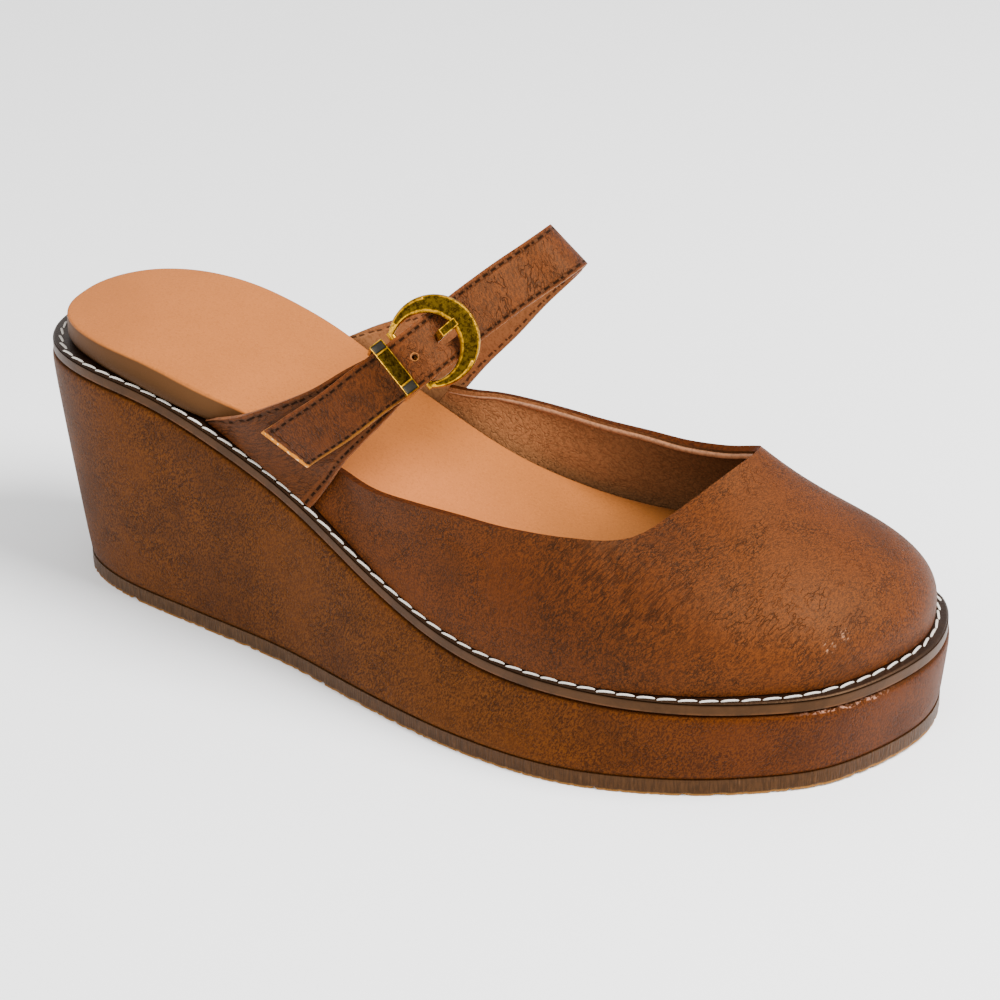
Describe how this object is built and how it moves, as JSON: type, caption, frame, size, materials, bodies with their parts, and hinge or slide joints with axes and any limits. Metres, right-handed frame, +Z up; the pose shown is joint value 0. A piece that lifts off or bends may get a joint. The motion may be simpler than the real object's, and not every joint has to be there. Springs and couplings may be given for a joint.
{
  "type": "wedge clog",
  "caption": "Closed-toe, open-back women's clog on a tall leather-covered wedge platform, with a stitched welt and a buckled strap over the instep.",
  "frame": {"origin": "on the floor, under the middle of the shoe's length and width", "axes": "+X towards the toe, +Y towards the medial (inner) side, +Z up"},
  "size_m": [0.2566, 0.1008, 0.1145],
  "materials": {
    "outsole_rubber": "matte, olive brown",
    "wedge_leather": "oiled, mottled brown",
    "band_leather": "smooth grey-brown edge",
    "welt_leather": "dark, stitched",
    "footbed_leather": "smooth tan",
    "upper_leather": "fine grained, waxed brown",
    "strap_leather": "waxed brown with streaks",
    "buckle_brass": "antique"
  },
  "bodies": {
    "root": {"outsole": "outsole_rubber", "wedge": "wedge_leather", "midsole_band": "band_leather", "welt": "welt_leather", "footbed": "footbed_leather", "vamp": "upper_leather", "lateral_strap_base": "strap_leather", "medial_strap_base": "strap_leather", "instep_strap": "strap_leather", "buckle_frame": "buckle_brass", "buckle_prong": "buckle_brass", "keeper_loop": "buckle_brass"}
  },
  "joints": []
}
